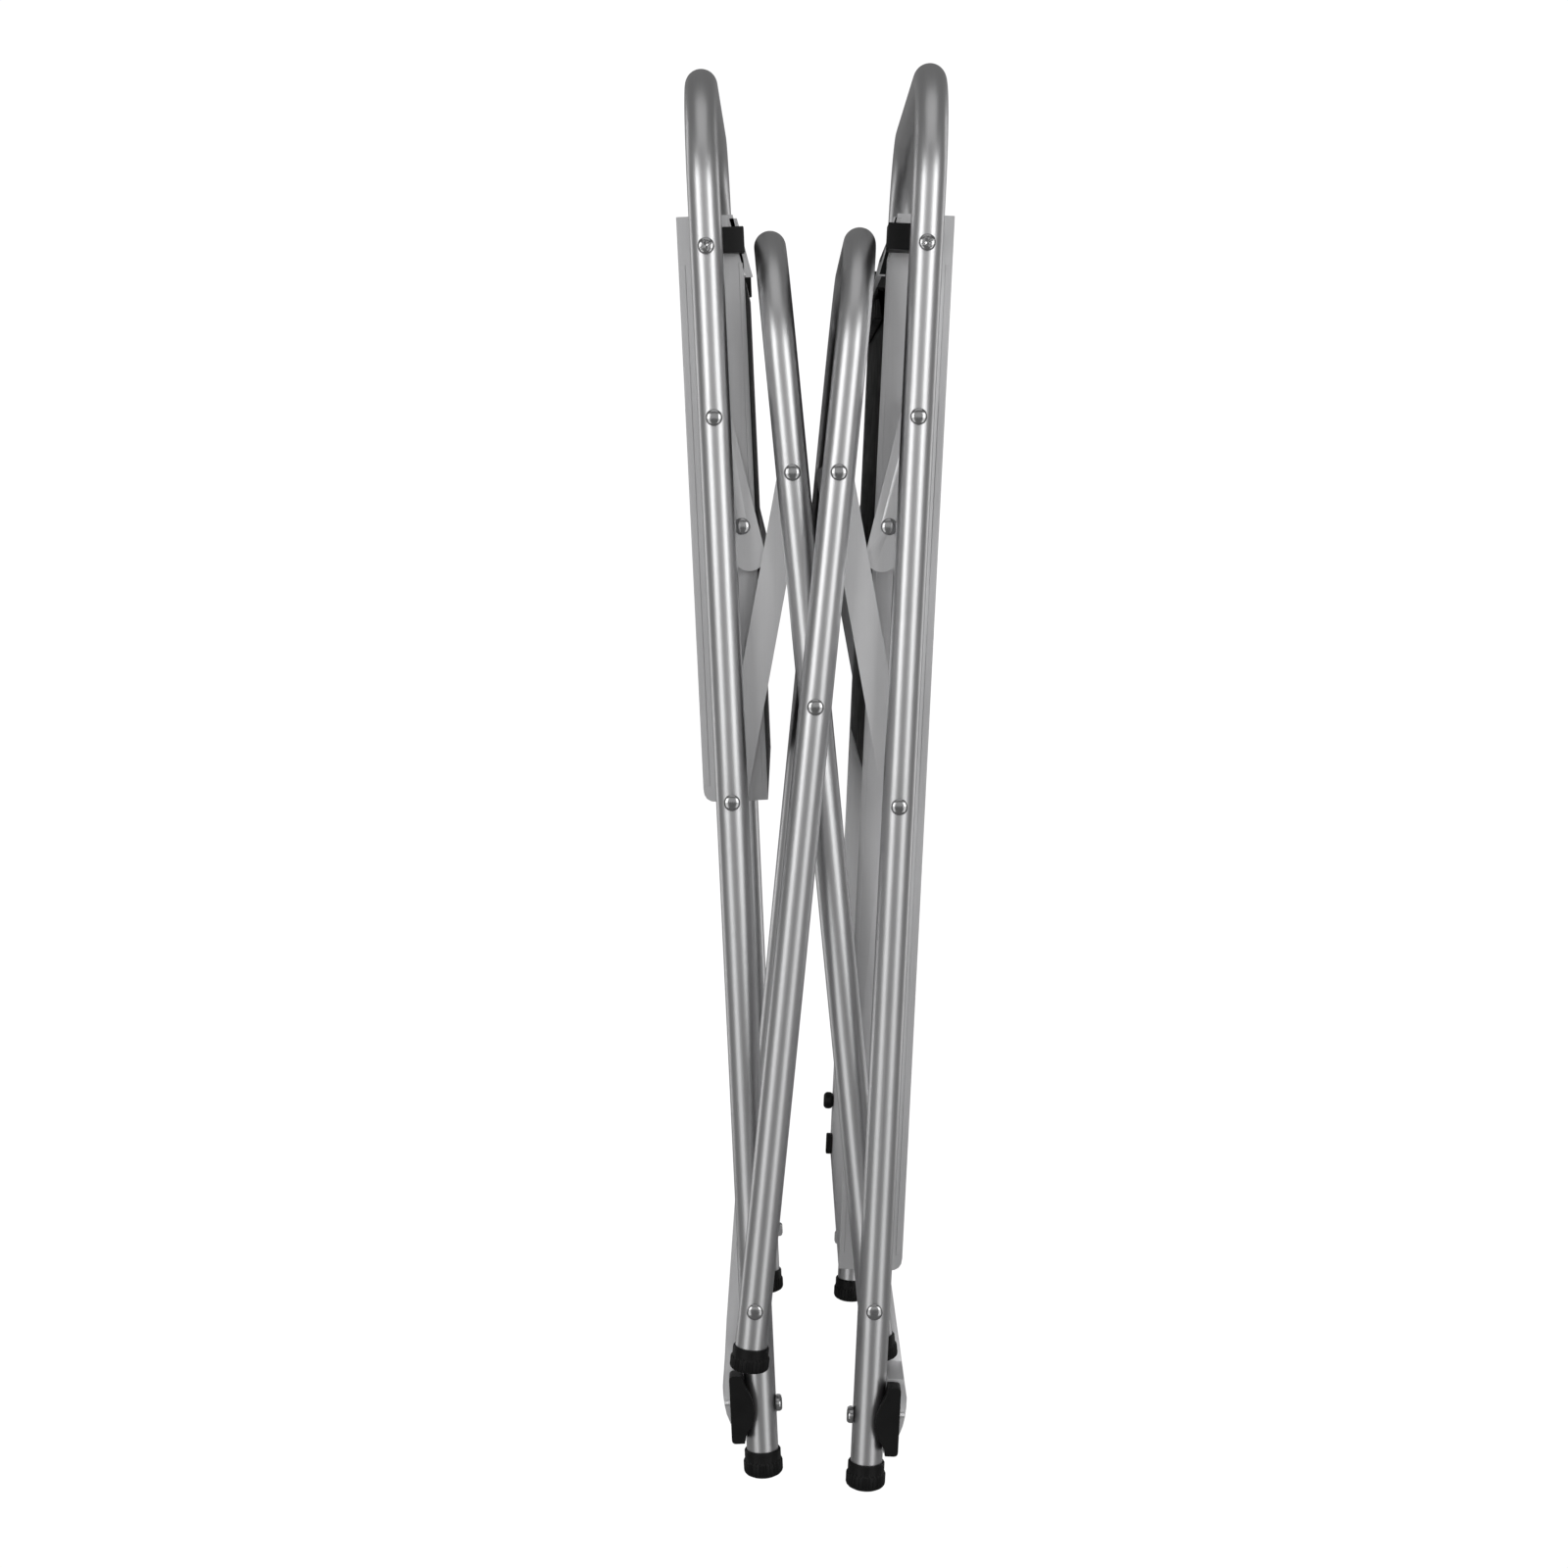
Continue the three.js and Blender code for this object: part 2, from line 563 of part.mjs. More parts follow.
// The arm carries a bush against its leg and the head of the elbow rivet. The strut's upper end
// turns just clear of that rivet.
function stays(name, side, depth) {
  const legRivet = onOuterLeg(side, HINGE_RISE - STAY.tubeDrop);
  const leafPivot = onOuterLeg(side, HINGE_RISE - STAY.leafDrop);
  const armLean = Math.PI + side * (OUTER_LEAN + STAY.foldAngle);
  const elbow = along(legRivet, armLean, STAY_ARM);
  const arm = frameAt(`${name}_stay_arm`, legRivet, armLean);
  const strut = frameAt(`${name}_stay_strut`, leafPivot, leanBetween(leafPivot, elbow));
  eachEnd(depth, (y, direction, end) => {
    const [armLow] = inward(y, direction, STAY.armOffset, STAY.armOffset + STAY.thickness);
    const [strutLow] = inward(y, direction, STRUT_OFFSET, STRUT_OFFSET + STAY.thickness);
    const [bushLow, bushHigh] = inward(y, direction, TUBE_RADIUS + GAP, STAY.armOffset + 1);
    const bush = turned([[0, bushLow], [STAY.bush, bushLow], [STAY.bush, bushHigh], [0, bushHigh]], 10);
    const elbowHead = blindRivet(y + direction * (STAY.armOffset + 0.2), direction, 0, STAY_ARM, 1);
    const bar = roundBar(STAY_ARM, STAY.armWidth, STAY.thickness, armLow, STAY.armTail);
    const drill = drillY(RIVET.shank + DRILL_GAP, bushLow - 6, bushHigh + 6, 0, 0);
    add(arm, `${name}_stay_arm_${end}`, cut(join([bar, bush, elbowHead]), [drill]), SHEET_METAL);
    add(strut, `${name}_stay_strut_${end}`,
      drilledBar(STAY_STRUT, STAY.strutWidth, STAY.thickness, strutLow, [0]), SHEET_METAL);
  });
}

// ---- The whole frame ---------------------------------------------------------------------------

const [RIGHT, LEFT] = [1, -1];
const [FRONT_LAYER, REAR_LAYER] = [0, LAYER];

outerSide('right', RIGHT, FRONT_LAYER, LONG_LEAF);
outerSide('left', LEFT, REAR_LAYER, SHORT_LEAF);
layerRivets('right_pivot', frameAt('right_pivot', bottomPivot(RIGHT), OUTER_LEAN));
layerRivets('left_pivot', frameAt('left_pivot', bottomPivot(LEFT), -OUTER_LEAN));
layerRivets('scissor', frameAt('scissor', SCISSOR, INNER_LEAN));
innerHoop('inner_front', RIGHT, FRONT_LAYER);
innerHoop('inner_rear', LEFT, REAR_LAYER);
linkBars('right', RIGHT, FRONT_LAYER);
linkBars('left', LEFT, REAR_LAYER);

const longLeaf = leaf('right', RIGHT, FRONT_LAYER, LONG_LEAF, BLACK_PLASTIC);
const shortLeaf = leaf('left', LEFT, REAR_LAYER, SHORT_LEAF, DARK_PAINT);
const boardTop = LEAF.above - LEAF_SLANT.down;
const darkEnd = LEAF.above - LONG_LEAF_DARK_LENGTH;
underside(longLeaf, 'right_leaf_board_upper', darkEnd, boardTop, DARK_PAINT);
underside(longLeaf, 'right_leaf_board_lower', longLeaf.bottom + LEAF.sheet, darkEnd, SHEET_METAL);
underside(shortLeaf, 'left_leaf_board', shortLeaf.bottom + LEAF.sheet, boardTop, DARK_PAINT);
leafFittings(longLeaf);
stays('right', RIGHT, FRONT_LAYER);
stays('left', LEFT, REAR_LAYER);

// The origin is on the floor under the middle of the whole frame.
assembly.updateMatrixWorld(true);
const bounds = new THREE.Box3().setFromObject(assembly, true);
const centre = bounds.getCenter(new THREE.Vector3());
assembly.position.set(-centre.x, -centre.y, -bounds.min.z);
assembly.updateMatrixWorld(true);

export default assembly;
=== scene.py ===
"""Looks of the folding camp frame: fine tubes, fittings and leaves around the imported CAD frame.

Lengths are in metres, in the frame's own axes: +Z up, X across the fold, Y along the pivots.
"""

import json
import math

import bmesh
import bpy
from mathutils import Matrix, Vector


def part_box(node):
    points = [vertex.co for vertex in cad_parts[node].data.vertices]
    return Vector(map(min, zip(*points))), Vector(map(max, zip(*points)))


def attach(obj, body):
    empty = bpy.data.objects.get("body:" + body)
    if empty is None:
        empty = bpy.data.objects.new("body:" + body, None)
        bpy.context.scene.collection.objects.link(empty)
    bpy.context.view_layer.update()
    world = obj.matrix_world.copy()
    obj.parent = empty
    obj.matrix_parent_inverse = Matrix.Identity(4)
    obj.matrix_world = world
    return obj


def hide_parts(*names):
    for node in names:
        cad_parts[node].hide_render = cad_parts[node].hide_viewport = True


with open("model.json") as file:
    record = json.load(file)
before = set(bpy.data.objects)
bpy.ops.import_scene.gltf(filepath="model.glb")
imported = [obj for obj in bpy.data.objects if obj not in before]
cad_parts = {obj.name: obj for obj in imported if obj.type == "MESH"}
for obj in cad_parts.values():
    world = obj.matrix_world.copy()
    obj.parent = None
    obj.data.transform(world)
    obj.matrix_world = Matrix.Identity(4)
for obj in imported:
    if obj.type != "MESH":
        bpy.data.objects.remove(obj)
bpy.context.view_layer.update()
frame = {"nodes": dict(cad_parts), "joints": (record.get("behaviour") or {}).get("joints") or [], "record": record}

MM = 0.001
NODES = frame["nodes"]
JOINTS = {joint["name"]: joint for joint in frame["joints"]}
BODY_OF = {
    node: body
    for body, members in frame["record"]["behaviour"]["bodies"].items()
    for node in members
}
SLOT_OF = {part["node"]: part["material_slot"] for part in frame["record"]["subparts"]}

# ---- Driving dimensions ------------------------------------------------------------------------
# A *_RISE is a distance up a leg from its origin pivot.

TUBE_RADIUS = 11 * MM
BEND_RADIUS = 78 * MM
TUBE_SIDES = 48
HOOP_SMOOTH = 50
BEND_STEPS = 26
LEG_STEP = 7 * MM
PINCH_DEPTH = 0.35 * MM
PINCH_REACH = 9 * MM

HEAD_DOME = 2.6 * MM
HEAD_RADIUS = 5.6 * MM
SHANK_RADIUS = 2.2 * MM
HEAD_SIDES = 40
HEAD_SMOOTH = 40
TIP_RADIUS = 0.3 * MM
INNER_LINK_RISE = 155 * MM
BAR_THICKNESS = 2 * MM
STAY_FOLD = math.radians(11.5)  # between a leg and its folded stay arm
STAY_ARM = 74.163 * MM  # from the leg's rivet to the elbow
BOLT_RISE = -75 * MM
BOLT_WASHER = 6.0 * MM
HEM_TOP = -9 * MM
HEM_END = 12 * MM
WALL_GAP = 0.3 * MM

# Metres in front of the near outer legs, above the floor and right of the middle; then degrees
# of downward tilt, and the lens and sensor in millimetres.
CAMERA = {"distance": 1.742, "height": 0.6776, "side": -0.0208, "pitch": 6.24, "lens": 60.3,
          "sensor": 36}


# ---- Places taken from the frame ---------------------------------------------------------------


def pivot(joint):
    return Vector(JOINTS[joint]["pos_m"])


class Leg:
    """A leg line in the X-Z plane: its origin pivot and its lean from the vertical."""

    def __init__(self, origin, through):
        direction = through - origin
        if direction.z < 0:
            direction = -direction
        self.origin = Vector((origin.x, 0, origin.z))
        self.lean = math.atan2(direction.x, direction.z)
        self.matrix = Matrix.Translation(self.origin) @ Matrix.Rotation(self.lean, 4, "Y")


SCISSOR = pivot("scissor")
LEGS = {
    "right_frame": Leg(pivot("fold"), pivot("right_leaf_hinge")),
    "left_frame": Leg(pivot("left_frame_pivot"), pivot("left_leaf_hinge")),
    "inner_rear_frame": Leg(SCISSOR, pivot("fold")),
    "inner_front_frame": Leg(SCISSOR, pivot("left_frame_pivot")),
}


def at_leaf_hinge(side):
    """Origin on a leaf's hinge, with +Z up along its leg."""
    hinge = pivot(side + "_leaf_hinge")
    lean = LEGS[side + "_frame"].lean
    return Matrix.Translation((hinge.x, 0, hinge.z)) @ Matrix.Rotation(lean, 4, "Y")


def centre_y(node):
    low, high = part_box(node)
    return (low.y + high.y) / 2


# ---- Materials ---------------------------------------------------------------------------------

NOISE_LOW, NOISE_HIGH = 0.3, 0.7
EVEN = (1, 1, 1)


class Nodes:
    """Short helpers for building one material's node tree."""

    def __init__(self, name, **values):
        self.material = bpy.data.materials.new(name)
        self.material.use_nodes = True
        self.tree = self.material.node_tree
        self.shader = self.tree.nodes["Principled BSDF"]
        for socket, value in values.items():
            self.shader.inputs[socket.replace("_", " ")].default_value = value

    def add(self, kind, **settings):
        node = self.tree.nodes.new(kind)
        for name, value in settings.items():
            setattr(node, name, value)
        return node

    def link(self, source, target):
        self.tree.links.new(source, target)

    def stretched_noise(self, coordinates, scale, noise_scale=1.0, detail=4.0):
        mapping = self.add("ShaderNodeMapping")
        mapping.inputs["Scale"].default_value = scale
        noise = self.add("ShaderNodeTexNoise")
        noise.inputs["Scale"].default_value = noise_scale
        noise.inputs["Detail"].default_value = detail
        self.link(coordinates, mapping.inputs["Vector"])
        self.link(mapping.outputs["Vector"], noise.inputs["Vector"])
        return noise.outputs["Fac"]

    def ramp(self, factor, low, high):
        """Spreads a noise's usual range over low to high."""
        remap = self.add("ShaderNodeMapRange")
        remap.inputs["From Min"].default_value = NOISE_LOW
        remap.inputs["From Max"].default_value = NOISE_HIGH
        remap.inputs["To Min"].default_value = low
        remap.inputs["To Max"].default_value = high
        self.link(factor, remap.inputs["Value"])
        return remap.outputs["Result"]

    def colour_mix(self, factor, dark, light):
        mix = self.add("ShaderNodeMix", data_type="RGBA")
        ends = {"A": dark, "B": light}
        for socket in mix.inputs:
            if socket.type == "RGBA" and socket.name in ends:
                socket.default_value = ends[socket.name]
        self.link(factor, mix.inputs["Factor"])
        return next(out for out in mix.outputs if out.type == "RGBA")

    def bump(self, height, strength, distance):
        bump = self.add("ShaderNodeBump")
        bump.inputs["Strength"].default_value = strength
        bump.inputs["Distance"].default_value = distance
        self.link(height, bump.inputs["Height"])
        self.link(bump.outputs["Normal"], self.shader.inputs["Normal"])


def grey(value):
    return (value, value, value * 1.01, 1)


def tube_metal():
    """Satin anodised tube: fine draw lines along its length and faint cloudiness."""
    nodes = Nodes("tube_aluminium", Metallic=1.0)
    uv = nodes.add("ShaderNodeUVMap", uv_map="along").outputs["UV"]
    lines = nodes.stretched_noise(uv, (260, 6, 1), 1.0, 5)
    position = nodes.add("ShaderNodeTexCoord").outputs["Object"]
    cloud = nodes.stretched_noise(position, EVEN, 22, 3)
    nodes.link(nodes.colour_mix(cloud, grey(0.6), grey(0.67)), nodes.shader.inputs["Base Color"])
    nodes.link(nodes.ramp(lines, 0.33, 0.42), nodes.shader.inputs["Roughness"])
    nodes.bump(lines, 0.12, 0.00006)
    return nodes.material


def sheet_metal(name, value, stretch, roughness=(0.3, 0.42)):
    """Brushed flat sheet: fine scratches along one axis of the object."""
    nodes = Nodes(name, Metallic=1.0)
    position = nodes.add("ShaderNodeTexCoord").outputs["Object"]
    scratches = nodes.stretched_noise(position, stretch, 1.0, 6)
    cloud = nodes.stretched_noise(position, EVEN, 14, 3)
    nodes.link(nodes.colour_mix(cloud, grey(value * 0.93), grey(value * 1.05)),
               nodes.shader.inputs["Base Color"])
    nodes.link(nodes.ramp(scratches, *roughness), nodes.shader.inputs["Roughness"])
    nodes.bump(scratches, 0.2, 0.00008)
    return nodes.material


def rivet_metal():
    nodes = Nodes("rivet_metal", Metallic=1.0)
    position = nodes.add("ShaderNodeTexCoord").outputs["Object"]
    marks = nodes.stretched_noise(position, EVEN, 900, 4)
    nodes.link(nodes.colour_mix(marks, grey(0.42), grey(0.54)), nodes.shader.inputs["Base Color"])
    nodes.link(nodes.ramp(marks, 0.14, 0.24), nodes.shader.inputs["Roughness"])
    nodes.bump(marks, 0.1, 0.00005)
    return nodes.material


def plastic(name, dark, light, grain=1400):
    """Moulded plastic or coated board: fine grain, with broader variation in gloss."""
    nodes = Nodes(name, Specular_IOR_Level=0.25)
    position = nodes.add("ShaderNodeTexCoord").outputs["Object"]
    fine = nodes.stretched_noise(position, EVEN, grain, 2)
    broad = nodes.stretched_noise(position, EVEN, 60, 3)
    nodes.link(nodes.colour_mix(broad, grey(dark), grey(light)), nodes.shader.inputs["Base Color"])
    nodes.link(nodes.ramp(broad, 0.42, 0.6), nodes.shader.inputs["Roughness"])
    nodes.bump(fine, 0.25, 0.00008)
    return nodes.material


MATERIALS = {
    "tube_aluminium": tube_metal(),
    "sheet_aluminium": sheet_metal("sheet_aluminium", 0.78, (900, 900, 14), (0.46, 0.58)),
    "rivet_metal": rivet_metal(),
    "black_plastic": plastic("black_plastic", 0.003, 0.006),
    # dark_paint is near-black on the leaf boards, which stand where the leaves' insides look dark: the colour is
    # painted shade as well as the boards' own dark colour.
    "dark_paint": plastic("dark_paint", 0.014, 0.022, 700),
}
RAIL_METAL = sheet_metal("rail_aluminium", 0.9, (900, 12, 900), (0.55, 0.65))


# ---- Mesh helpers ------------------------------------------------------------------------------


def finish_piece(mesh, name, node, look=None, replaces=(), matrix=None, slot=None):
    """Makes the mesh a piece that rides with its CAD node's body. Its finish is that node's,
    unless look gives a material or slot names another finish."""
    slot = slot or SLOT_OF[node]
    if matrix is not None:
        mesh.transform(matrix)
    piece = bpy.data.objects.new(name, mesh)
    bpy.context.scene.collection.objects.link(piece)
    mesh.materials.clear()
    mesh.materials.append(look or MATERIALS[slot])
    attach(piece, BODY_OF[node])
    if replaces:
        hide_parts(*replaces)
    return piece


def mesh_of(name, bm, smooth_angle=35):
    """Mesh shaded smooth, but sharp where faces meet at more than smooth_angle degrees."""
    bmesh.ops.recalc_face_normals(bm, faces=bm.faces)
    mesh = bpy.data.meshes.new(name)
    bm.to_mesh(mesh)
    bm.free()
    for polygon in mesh.polygons:
        polygon.use_smooth = True
    mesh.set_sharp_from_angle(angle=math.radians(smooth_angle))
    return mesh


def grid_faces(bm, rings):
    """Quads between closed rings of equal vertex count."""
    for lower, upper in zip(rings, rings[1:]):
        for i in range(len(lower)):
            j = (i + 1) % len(lower)
            bm.faces.new((lower[i], lower[j], upper[j], upper[i]))


def cap_ends(bm, rings):
    """Closes the first and the last ring with a face each."""
    bm.faces.new(rings[0])
    bm.faces.new(rings[-1])


def turned_mesh(name, profile, sides=HEAD_SIDES, wobble=None, smooth_angle=35):
    """Solid of revolution about Z from (radius, height) points; wobble scales each radius."""
    bm = bmesh.new()
    rings = []
    for index, (radius, height) in enumerate(profile):
        ring = []
        for i in range(sides):
            angle = 2 * math.pi * i / sides
            r = radius * (wobble(angle, index) if wobble else 1)
            ring.append(bm.verts.new((r * math.cos(angle), r * math.sin(angle), height)))
        rings.append(ring)
    grid_faces(bm, rings)
    cap_ends(bm, rings)
    return mesh_of(name, bm, smooth_angle)


def arc(radius, height, start, end, steps):
    """Points (r, z) on an ellipse from angle start to end, in degrees."""
    points = []
    for i in range(steps + 1):
        angle = math.radians(start + (end - start) * i / steps)
        points.append((radius * math.cos(angle), height * math.sin(angle)))
    return points


# ---- Tubes -------------------------------------------------------------------------------------

CAD_TUBE_SIDES = 12
# Between the leg centres. It comes from an outer hoop, because the rivet heads joined to the
# inner hoops reach past their tubes. The CAD tube has 12 sides, with flats toward near and far.
HOOP_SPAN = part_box("right_outer_hoop")[1].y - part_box("right_outer_hoop")[0].y
HOOP_SPAN -= 2 * TUBE_RADIUS * math.cos(math.pi / CAD_TUBE_SIDES)


def hoop_stations(low, top, near, far):
    """Centre line of a hoop: (y, z, turn) up the near leg, over the top and down the far one."""
    corner = top - BEND_RADIUS
    count = max(2, round((corner - low) / LEG_STEP))
    leg = [low + (corner - low) * i / count for i in range(count)]
    stations = [(near, z, 0.0) for z in leg]
    for centre, start in ((near + BEND_RADIUS, 0), (far - BEND_RADIUS, 90)):
        for i in range(BEND_STEPS + 1):
            turn = math.radians(start + 90 * i / BEND_STEPS)
            stations.append((centre - BEND_RADIUS * math.cos(turn),
                             corner + BEND_RADIUS * math.sin(turn), turn))
    stations += [(far, z, math.pi) for z in reversed(leg)]
    return stations


def hoop_mesh(name, low, top, near, far, rivets):
    """Round bent tube, drawn in a little where each rivet pulls on it."""
    bm = bmesh.new()
    uv = bm.loops.layers.uv.new("along")
    stations = hoop_stations(low, top, near, far)
    rings, travelled, previous = [], [0.0], None
    for y, z, turn in stations:
        if previous:
            travelled.append(travelled[-1] + math.dist((y, z), previous))
        previous = (y, z)
        pull = 0.0
        if turn in (0.0, math.pi):
            pull = max((math.exp(-(((z - r) / PINCH_REACH) ** 2)) for r in rivets), default=0.0)
        ring = []
        for i in range(TUBE_SIDES):
            angle = 2 * math.pi * i / TUBE_SIDES
            across = TUBE_RADIUS * math.sin(angle)
            out = TUBE_RADIUS * math.cos(angle)
            out -= math.copysign(PINCH_DEPTH * pull * math.cos(angle) ** 2, out)
            ring.append(bm.verts.new((across, y - out * math.cos(turn), z + out * math.sin(turn))))
        rings.append(ring)
    for index, (lower, upper) in enumerate(zip(rings, rings[1:])):
        for i in range(TUBE_SIDES):
            j = (i + 1) % TUBE_SIDES
            face = bm.faces.new((lower[i], lower[j], upper[j], upper[i]))
            left, right = i / TUBE_SIDES, (i + 1) / TUBE_SIDES
            start, end = travelled[index:index + 2]
            spots = ((left, start), (right, start), (right, end), (left, end))
            for loop, spot in zip(face.loops, spots):
                loop[uv].uv = spot
    cap_ends(bm, rings)
    return mesh_of(name, bm, HOOP_SMOOTH)


def build_hoop(node, rivets):
    leg = LEGS[BODY_OF[node]]
    low_corner, high_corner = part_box(node)
    tilt = TUBE_RADIUS * math.sin(abs(leg.lean))
    low = (low_corner.z - leg.origin.z + tilt) / math.cos(leg.lean)
    top = (high_corner.z - leg.origin.z - TUBE_RADIUS) / math.cos(leg.lean)
    mid = centre_y(node)
    half = HOOP_SPAN / 2
    mesh = hoop_mesh(node + "_tube", low, top, mid - half, mid + half, rivets)
    finish_piece(mesh, node + "_tube", node, replaces=[node], matrix=leg.matrix)


def rise(body, joint):
    """Distance of a joint's pivot along a body's leg."""
    return (LEGS[body].matrix.inverted() @ pivot(joint)).z


def build_hoops():
    for side in ("right", "left"):
        body = side + "_frame"
        rivets = [0.0, rise(body, side + "_link_pivot"), rise(body, side + "_stay_arm_pivot"),
                  rise(body, side + "_leaf_hinge")]
        build_hoop(side + "_outer_hoop", rivets)
    for name, lower in (("inner_front", "left_frame_pivot"), ("inner_rear", "fold")):
        build_hoop(name + "_hoop", [rise(name + "_frame", lower), 0.0, INNER_LINK_RISE])


# ---- Feet and end caps -------------------------------------------------------------------------

CAP_ENDINGS = ("_foot_near", "_foot_far", "_cap_near", "_cap_far")
# Dome depth, height, radius over the ribs and radius of the collar.
FOOT_SIZE = (3 * MM, 17 * MM, 13.6 * MM, 12.6 * MM)
CAP_SIZE = (1.5 * MM, 16 * MM, 13.4 * MM, 12.4 * MM)
RIBBED_SHARE = 0.55
CAP_BORE = 11.15 * MM
RIB_COUNT = 30
RIB_DEPTH = 0.045
RIB_STEEPNESS = 1.6
RIBBED_POINTS = range(4, 8)  # the points of a cap's profile that the ribs shape
SIDES_PER_RIB = 8
CAP_SMOOTH = 30


def ribbed_cap(node):
    """A ribbed ring and smooth collar over a tube's end, with a softly domed base."""
    leg = LEGS[BODY_OF[node]]
    dome, height, rib, collar = FOOT_SIZE if "foot" in node else CAP_SIZE
    ring = height * RIBBED_SHARE
    profile = [(TIP_RADIUS, -dome), (rib * 0.35, -dome * 0.93), (rib * 0.7, -dome * 0.6),
               (rib * 0.88, -dome * 0.15), (rib * 0.96, 0.7 * MM), (rib, 2.0 * MM),
               (rib, ring - 0.8 * MM), (rib * 0.975, ring), (collar, ring + 0.6 * MM),
               (collar, height - 0.9 * MM), (collar - 0.5 * MM, height - 0.1 * MM),
               (CAP_BORE + 0.2 * MM, height), (CAP_BORE, height - 0.4 * MM),
               (CAP_BORE, height - 4 * MM)]

    def wobble(angle, index):
        if index not in RIBBED_POINTS:
            return 1
        wave = math.cos(angle * RIB_COUNT)
        return 1 - RIB_DEPTH * max(0.0, min(1.0, 0.5 - RIB_STEEPNESS * wave))

    mesh = turned_mesh(node + "_ribbed", profile, RIB_COUNT * SIDES_PER_RIB, wobble, CAP_SMOOTH)
    low_corner, high_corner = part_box(node)
    # The cap's base is square to its leg, so its lowest point is found from the box's middle.
    base = Vector(((low_corner.x + high_corner.x) / 2, 0, (low_corner.z + high_corner.z) / 2))
    middle = (leg.matrix.inverted() @ base).z
    low = middle - (height - dome) / 2
    place = leg.matrix @ Matrix.Translation((0, centre_y(node), low))
    finish_piece(mesh, node + "_ribbed", node, replaces=[node], matrix=place)


def build_caps():
    for node in sorted(node for node in NODES if node.endswith(CAP_ENDINGS)):
        ribbed_cap(node)


# ---- Rivets and screws -------------------------------------------------------------------------

HEAD_RIM = 0.5 * MM
HEAD_SHANK = 0.8 * MM
HEAD_COVER = 0.1 * MM
LINK_HEAD_SINK = 0.3 * MM
LINK_HEAD_SHANK = 0.5 * MM
SCREW_SIDES = 64
SCREW_RINGS = 22
SCREW_FLATNESS = 2.6
SCREW_TURN = math.radians(28)
SCREW_SMOOTH = 38
SLOT_HALF = 0.85 * MM
SLOT_REACH = 3.7 * MM
SLOT_DEPTH = 2.0 * MM
SLOT_TAPER = 0.55


def head_profile(radius, dome, shank, length):
    """Domed head whose top is at +dome, with its flat at 0 and its shank below."""
    points = [(shank, -length), (shank, 0.0), (radius - 0.15 * MM, 0.0), (radius, 0.18 * MM),
              (radius, 0.45 * MM)]
    points += [(r, HEAD_RIM + z) for r, z in arc(radius, dome - HEAD_RIM, 12, 88, 9)]
    return points


AWAY = {"near": Matrix.Rotation(math.pi / 2, 4, "X"), "far": Matrix.Rotation(-math.pi / 2, 4, "X")}


def dome_head(name, node, x, y, z, end, radius=HEAD_RADIUS, dome=HEAD_DOME, length=HEAD_SHANK,
              replaces=()):
    """A rivet head on the face at y, bulging outward at the near or far end."""
    profile = head_profile(radius, dome, SHANK_RADIUS, length)
    mesh = turned_mesh(name, profile, smooth_angle=HEAD_SMOOTH)
    place = Matrix.Translation((x, y, z)) @ AWAY[end]
    finish_piece(mesh, name, node, replaces=replaces, matrix=place, slot="rivet_metal")


def middle_of(node):
    low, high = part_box(node)
    return (low.x + high.x) / 2, (low.z + high.z) / 2


def through_rivet(node):
    """A rivet with a head at each end; the first head carries the whole shank."""
    low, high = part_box(node)
    x, z = middle_of(node)
    faces = (low.y + HEAD_DOME, high.y - HEAD_DOME)
    dome_head(node + "_head", node, x, faces[0], z, "near", length=faces[1] - faces[0],
              replaces=[node])
    dome_head(node + "_tail", node, x, faces[1], z, "far")


def head_seat(node, end):
    """The face that a one-headed fastener's head sits on, and the length of its shank."""
    low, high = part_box(node)
    y = low.y + HEAD_DOME if end == "near" else high.y - HEAD_DOME
    return y, high.y - low.y - HEAD_DOME


def single_rivet(node, end):
    x, z = middle_of(node)
    y, length = head_seat(node, end)
    dome_head(node + "_head", node, x, y, z, end, length=length, replaces=[node])


def cross_screw(node, end):
    """Pan-head screw with a cross recess that gets shallower toward the ends of its arms."""
    x, z = middle_of(node)
    y, length = head_seat(node, end)
    bm = bmesh.new()
    rings = []
    for k in range(SCREW_RINGS):
        share = 0.02 + 0.98 * k / (SCREW_RINGS - 1)
        r = HEAD_RADIUS * share
        top = HEAD_RIM + (HEAD_DOME - HEAD_RIM) * math.sqrt(max(0.0, 1 - share**SCREW_FLATNESS))
        ring = []
        for i in range(SCREW_SIDES):
            angle = 2 * math.pi * i / SCREW_SIDES
            px, py = r * math.cos(angle), r * math.sin(angle)
            pz = top
            across = min(abs(px), abs(py))
            along = max(abs(px), abs(py))
            if across < SLOT_HALF and along < SLOT_REACH:
                pz -= SLOT_DEPTH * (1 - SLOT_TAPER * along / SLOT_REACH)
            ring.append(bm.verts.new((px, py, pz)))
        rings.append(ring)
    for radius, height in ((HEAD_RADIUS, 0.15 * MM), (HEAD_RADIUS - 0.2 * MM, 0.0),
                           (SHANK_RADIUS, 0.0), (SHANK_RADIUS, -length)):
        rings.append([bm.verts.new((radius * math.cos(2 * math.pi * i / SCREW_SIDES),
                                    radius * math.sin(2 * math.pi * i / SCREW_SIDES), height))
                      for i in range(SCREW_SIDES)])
    grid_faces(bm, rings)
    cap_ends(bm, rings)
    mesh = mesh_of(node + "_cross", bm, SCREW_SMOOTH)
    place = Matrix.Translation((x, y, z)) @ AWAY[end] @ Matrix.Rotation(SCREW_TURN, 4, "Z")
    finish_piece(mesh, node + "_cross", node, replaces=[node], matrix=place)


